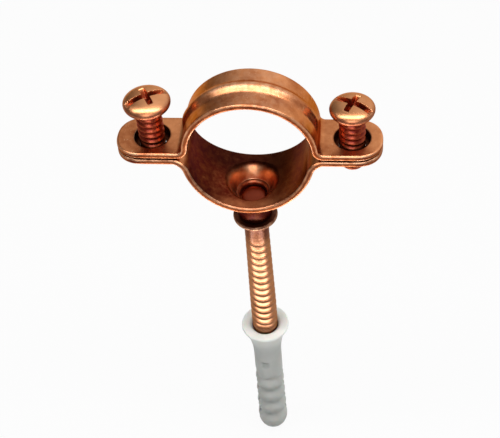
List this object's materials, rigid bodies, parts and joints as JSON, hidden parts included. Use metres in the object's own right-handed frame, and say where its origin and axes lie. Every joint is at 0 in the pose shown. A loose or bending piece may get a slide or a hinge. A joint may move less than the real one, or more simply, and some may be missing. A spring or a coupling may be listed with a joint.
{
  "type": "pipe clamp",
  "caption": "Strap ring in two halves for a 22 mm pipe, with screwed ears, on a wood screw that stands in a nylon wall plug.",
  "frame": {"origin": "centre of the wall plug's mouth, on the axis of the wood screw", "axes": "+Z out of the wall along the wood screw to the ring, Y along the pipe, X across the two ears"},
  "size_m": [0.0484, 0.0148, 0.1054],
  "materials": {
    "copper_strap": "copper plated pressed steel, satin with tumbled marks",
    "copper_screw": "copper plated turned steel, bright",
    "grey_nylon": "moulded grey nylon, dull"
  },
  "bodies": {
    "plug": {"wall_plug": "grey_nylon"},
    "saddle": {"lower_strap": "copper_strap", "mounting_screw": "copper_screw"},
    "cap": {"upper_strap": "copper_strap"},
    "left_screw": {"left_ear_screw": "copper_screw"},
    "right_screw": {"right_ear_screw": "copper_screw"}
  },
  "joints": [
    {"name": "screw_turn", "type": "hinge", "parent": "plug", "child": "saddle", "pos_m": [0, 0, 0], "axis": [0, 0, 1], "continuous": true},
    {"name": "cap_lift", "type": "slide", "parent": "saddle", "child": "cap", "axis": [0, 0, 1], "range_m": [0, 0.03]},
    {"name": "left_screw_travel", "type": "slide", "parent": "cap", "child": "left_screw", "axis": [0, 0, 1], "range_m": [-0.007, 0.004]},
    {"name": "right_screw_travel", "type": "slide", "parent": "cap", "child": "right_screw", "axis": [0, 0, 1], "range_m": [-0.0059, 0.0051]}
  ]
}
